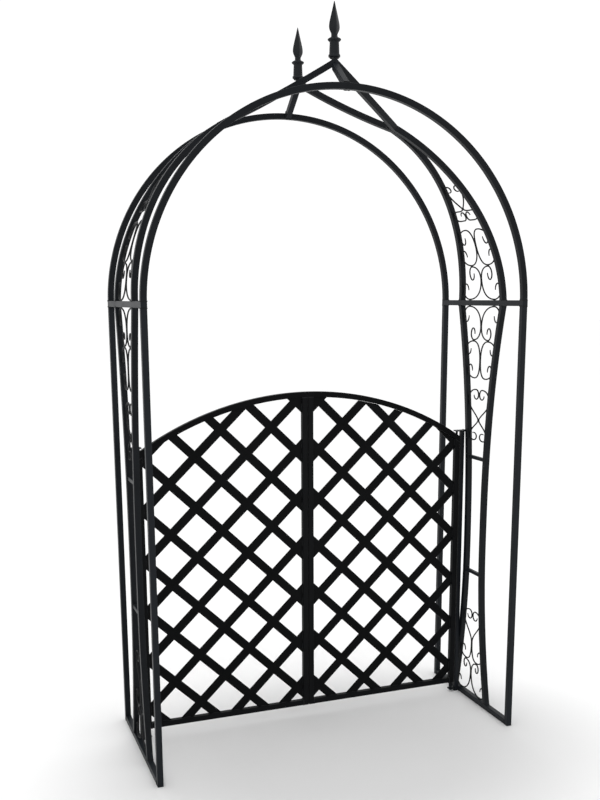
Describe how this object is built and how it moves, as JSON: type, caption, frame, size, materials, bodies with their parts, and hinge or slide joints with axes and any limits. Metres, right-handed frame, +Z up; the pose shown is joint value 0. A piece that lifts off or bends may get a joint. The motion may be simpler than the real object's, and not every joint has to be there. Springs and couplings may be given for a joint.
{
  "type": "garden arch with gate",
  "caption": "Round-topped metal garden arch with bowed scroll side panels, finials over the crown and an arch-topped double lattice gate.",
  "frame": {"origin": "middle of the footprint, on the ground", "axes": "+X to the right of someone facing the gate from the front, -Y to the front, +Z up"},
  "size_m": [1.269, 0.554, 2.3569],
  "materials": {
    "black_paint": "satin black powder coat",
    "zinc": "dull zinc"
  },
  "bodies": {
    "frame": {"front_hoop": "black_paint", "front_strut": "black_paint", "front_finial": "black_paint", "back_hoop": "black_paint", "back_strut": "black_paint", "back_finial": "black_paint", "left_front_leg": "black_paint", "left_front_bow": "black_paint", "left_front_rib": "black_paint", "left_back_leg": "black_paint", "left_back_bow": "black_paint", "left_back_rib": "black_paint", "left_foot_rail": "black_paint", "left_spring_rail": "black_paint", "left_upper_tie": "black_paint", "left_lower_tie": "black_paint", "left_crown_scrolls": "black_paint", "left_heart_scroll": "black_paint", "left_base_scrolls": "black_paint", "left_arch_scrolls": "black_paint", "left_arch_heart": "black_paint", "left_foot_pivot": "black_paint", "left_head_pivot": "black_paint", "left_hinge_post": "black_paint", "right_front_leg": "black_paint", "right_front_bow": "black_paint", "right_front_rib": "black_paint", "right_back_leg": "black_paint", "right_back_bow": "black_paint", "right_back_rib": "black_paint", "right_foot_rail": "black_paint", "right_spring_rail": "black_paint", "right_upper_tie": "black_paint", "right_lower_tie": "black_paint", "right_crown_scrolls": "black_paint", "right_heart_scroll": "black_paint", "right_base_scrolls": "black_paint", "right_arch_scrolls": "black_paint", "right_arch_heart": "black_paint", "right_foot_pivot": "black_paint", "right_head_pivot": "black_paint", "right_hinge_post": "black_paint"},
    "left_gate": {"left_gate_hinge_stile": "black_paint", "left_gate_meeting_stile": "black_paint", "left_gate_bottom_rail": "black_paint", "left_gate_top_rail": "black_paint", "left_gate_lattice": "black_paint", "left_gate_foot_bush": "zinc", "left_gate_head_bush": "zinc"},
    "right_gate": {"right_gate_hinge_stile": "black_paint", "right_gate_meeting_stile": "black_paint", "right_gate_bottom_rail": "black_paint", "right_gate_top_rail": "black_paint", "right_gate_lattice": "black_paint", "right_gate_foot_bush": "zinc", "right_gate_head_bush": "zinc"}
  },
  "joints": [
    {"name": "left_gate_swing", "type": "hinge", "parent": "frame", "child": "left_gate", "pos_m": [-0.5862, 0.086, 0.5], "axis": [0, 0, 1], "range_deg": [-90, 90]},
    {"name": "right_gate_swing", "type": "hinge", "parent": "frame", "child": "right_gate", "pos_m": [0.5862, 0.086, 0.5], "axis": [0, 0, 1], "range_deg": [-90, 90]}
  ]
}
